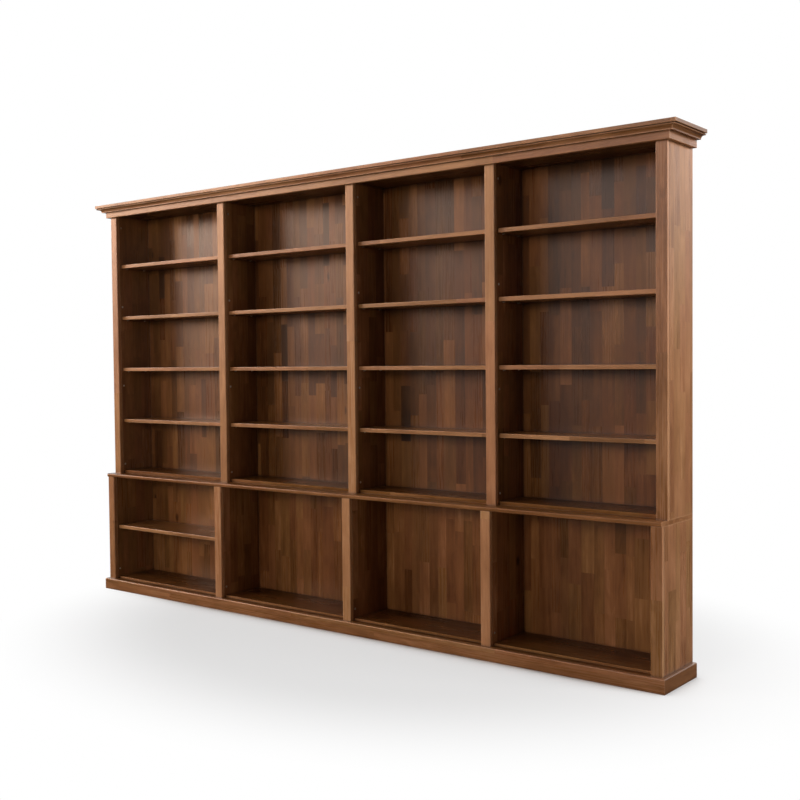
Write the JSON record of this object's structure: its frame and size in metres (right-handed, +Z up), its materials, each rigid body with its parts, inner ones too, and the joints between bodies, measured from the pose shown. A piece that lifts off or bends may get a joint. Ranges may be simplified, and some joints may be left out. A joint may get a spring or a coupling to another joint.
{
  "type": "bookcase",
  "caption": "Tall open bookcase with a deeper lower unit, loose shelves on pins between stile-fronted uprights, waist board, plinth, frieze and crown moulding.",
  "frame": {"origin": "on the floor, at the middle of the footprint's box", "axes": "+X to the right of someone facing the shelves, +Y to the wall behind, +Z up"},
  "size_m": [3.574, 0.308, 2.22],
  "materials": {
    "upright_wood": "satin walnut stain",
    "trim_wood": "satin walnut stain",
    "shelf_wood": "satin walnut stain",
    "back_panel_wood": "satin walnut stain",
    "zinc_steel": "zinc plated"
  },
  "bodies": {
    "carcass": {"connector_bolts": "zinc_steel", "crown_front": "trim_wood", "crown_left": "trim_wood", "crown_right": "trim_wood", "frieze_front": "trim_wood", "frieze_left": "trim_wood", "frieze_right": "trim_wood", "lower_back_1": "back_panel_wood", "lower_back_2": "back_panel_wood", "lower_back_3": "back_panel_wood", "lower_back_4": "back_panel_wood", "lower_bottom_boards": "shelf_wood", "lower_stile_1": "trim_wood", "lower_stile_2": "trim_wood", "lower_stile_3": "trim_wood", "lower_stile_4": "trim_wood", "lower_stile_5": "trim_wood", "lower_upright_1": "upright_wood", "lower_upright_2": "upright_wood", "lower_upright_3": "upright_wood", "lower_upright_4": "upright_wood", "lower_upright_5": "upright_wood", "plinth_front": "trim_wood", "plinth_left": "trim_wood", "plinth_right": "trim_wood", "shelf_pins": "zinc_steel", "upper_back_1": "back_panel_wood", "upper_back_2": "back_panel_wood", "upper_back_3": "back_panel_wood", "upper_back_4": "back_panel_wood", "upper_bottom_boards": "shelf_wood", "upper_stile_1": "trim_wood", "upper_stile_2": "trim_wood", "upper_stile_3": "trim_wood", "upper_stile_4": "trim_wood", "upper_stile_5": "trim_wood", "upper_top_boards": "shelf_wood", "upper_upright_1": "upright_wood", "upper_upright_2": "upright_wood", "upper_upright_3": "upright_wood", "upper_upright_4": "upright_wood", "upper_upright_5": "upright_wood", "waist_board": "trim_wood"},
    "lower_shelf_bay_1_body": {"lower_shelf_bay_1": "shelf_wood"},
    "shelf_bay_1_level_1_body": {"shelf_bay_1_level_1": "shelf_wood"},
    "shelf_bay_1_level_2_body": {"shelf_bay_1_level_2": "shelf_wood"},
    "shelf_bay_1_level_3_body": {"shelf_bay_1_level_3": "shelf_wood"},
    "shelf_bay_1_level_4_body": {"shelf_bay_1_level_4": "shelf_wood"},
    "shelf_bay_2_level_1_body": {"shelf_bay_2_level_1": "shelf_wood"},
    "shelf_bay_2_level_2_body": {"shelf_bay_2_level_2": "shelf_wood"},
    "shelf_bay_2_level_3_body": {"shelf_bay_2_level_3": "shelf_wood"},
    "shelf_bay_2_level_4_body": {"shelf_bay_2_level_4": "shelf_wood"},
    "shelf_bay_3_level_1_body": {"shelf_bay_3_level_1": "shelf_wood"},
    "shelf_bay_3_level_2_body": {"shelf_bay_3_level_2": "shelf_wood"},
    "shelf_bay_3_level_3_body": {"shelf_bay_3_level_3": "shelf_wood"},
    "shelf_bay_3_level_4_body": {"shelf_bay_3_level_4": "shelf_wood"},
    "shelf_bay_4_level_1_body": {"shelf_bay_4_level_1": "shelf_wood"},
    "shelf_bay_4_level_2_body": {"shelf_bay_4_level_2": "shelf_wood"},
    "shelf_bay_4_level_3_body": {"shelf_bay_4_level_3": "shelf_wood"},
    "shelf_bay_4_level_4_body": {"shelf_bay_4_level_4": "shelf_wood"}
  },
  "joints": [
    {"name": "lower_shelf_bay_1_slide", "type": "slide", "parent": "carcass", "child": "lower_shelf_bay_1_body", "axis": [0, -1, 0], "range_m": [0, 0.3]},
    {"name": "shelf_bay_1_level_1_slide", "type": "slide", "parent": "carcass", "child": "shelf_bay_1_level_1_body", "axis": [0, -1, 0], "range_m": [0, 0.3]},
    {"name": "shelf_bay_1_level_2_slide", "type": "slide", "parent": "carcass", "child": "shelf_bay_1_level_2_body", "axis": [0, -1, 0], "range_m": [0, 0.3]},
    {"name": "shelf_bay_1_level_3_slide", "type": "slide", "parent": "carcass", "child": "shelf_bay_1_level_3_body", "axis": [0, -1, 0], "range_m": [0, 0.3]},
    {"name": "shelf_bay_1_level_4_slide", "type": "slide", "parent": "carcass", "child": "shelf_bay_1_level_4_body", "axis": [0, -1, 0], "range_m": [0, 0.3]},
    {"name": "shelf_bay_2_level_1_slide", "type": "slide", "parent": "carcass", "child": "shelf_bay_2_level_1_body", "axis": [0, -1, 0], "range_m": [0, 0.3]},
    {"name": "shelf_bay_2_level_2_slide", "type": "slide", "parent": "carcass", "child": "shelf_bay_2_level_2_body", "axis": [0, -1, 0], "range_m": [0, 0.3]},
    {"name": "shelf_bay_2_level_3_slide", "type": "slide", "parent": "carcass", "child": "shelf_bay_2_level_3_body", "axis": [0, -1, 0], "range_m": [0, 0.3]},
    {"name": "shelf_bay_2_level_4_slide", "type": "slide", "parent": "carcass", "child": "shelf_bay_2_level_4_body", "axis": [0, -1, 0], "range_m": [0, 0.3]},
    {"name": "shelf_bay_3_level_1_slide", "type": "slide", "parent": "carcass", "child": "shelf_bay_3_level_1_body", "axis": [0, -1, 0], "range_m": [0, 0.3]},
    {"name": "shelf_bay_3_level_2_slide", "type": "slide", "parent": "carcass", "child": "shelf_bay_3_level_2_body", "axis": [0, -1, 0], "range_m": [0, 0.3]},
    {"name": "shelf_bay_3_level_3_slide", "type": "slide", "parent": "carcass", "child": "shelf_bay_3_level_3_body", "axis": [0, -1, 0], "range_m": [0, 0.3]},
    {"name": "shelf_bay_3_level_4_slide", "type": "slide", "parent": "carcass", "child": "shelf_bay_3_level_4_body", "axis": [0, -1, 0], "range_m": [0, 0.3]},
    {"name": "shelf_bay_4_level_1_slide", "type": "slide", "parent": "carcass", "child": "shelf_bay_4_level_1_body", "axis": [0, -1, 0], "range_m": [0, 0.3]},
    {"name": "shelf_bay_4_level_2_slide", "type": "slide", "parent": "carcass", "child": "shelf_bay_4_level_2_body", "axis": [0, -1, 0], "range_m": [0, 0.3]},
    {"name": "shelf_bay_4_level_3_slide", "type": "slide", "parent": "carcass", "child": "shelf_bay_4_level_3_body", "axis": [0, -1, 0], "range_m": [0, 0.3]},
    {"name": "shelf_bay_4_level_4_slide", "type": "slide", "parent": "carcass", "child": "shelf_bay_4_level_4_body", "axis": [0, -1, 0], "range_m": [0, 0.3]}
  ]
}
